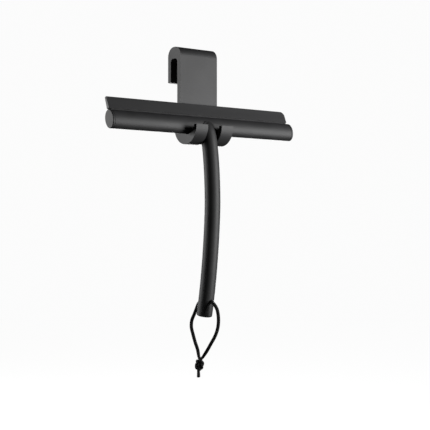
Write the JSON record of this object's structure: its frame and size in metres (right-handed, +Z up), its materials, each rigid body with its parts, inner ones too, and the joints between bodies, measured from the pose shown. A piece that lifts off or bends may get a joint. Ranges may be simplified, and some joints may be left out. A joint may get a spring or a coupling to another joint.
{
  "type": "shower squeegee with over-glass hanger",
  "caption": "Wide silicone window squeegee with a bowed handle and a knotted cord, resting in a forked hanger that hooks over the top edge of a glass screen.",
  "frame": {"origin": "middle of the hanger's flat seat, which rests on the glass screen's top edge, in the middle of the gap for the glass", "axes": "+Z up, X along the squeegee's bar and the glass edge, -Y towards the user, +Y to the far side of the glass"},
  "size_m": [0.245, 0.0557, 0.3597],
  "materials": {
    "silicone": "matt, fine-grained moulded silicone",
    "steel": "plain stainless, hidden inside the silicone",
    "aluminium": "mill-finish extrusion, hidden inside the silicone",
    "nylon": "plain moulded nylon",
    "cord": "round braided polyester cord"
  },
  "bodies": {
    "hanger": {"hanger_cover": "silicone", "hanger_core": "steel"},
    "squeegee": {"head_core": "aluminium", "head_cover": "silicone", "wiper_blade": "silicone", "left_end_cap": "silicone", "right_end_cap": "silicone", "handle_core_tube": "steel", "handle_cover": "silicone", "neck_insert": "steel", "neck_screw": "steel", "handle_end_plug": "nylon", "lanyard_bush": "nylon"},
    "lanyard": {"cord_front": "cord", "cord_back": "cord", "lanyard_knot": "cord"}
  },
  "joints": [
    {"name": "squeegee_lift", "type": "slide", "parent": "hanger", "child": "squeegee", "axis": [0, -0.5, 0.866], "range_m": [0, 0.09]},
    {"name": "lanyard_swing", "type": "hinge", "parent": "squeegee", "child": "lanyard", "pos_m": [0, -0.0247, -0.2639], "axis": [0, 1, 0], "range_deg": [-85, 85]}
  ]
}
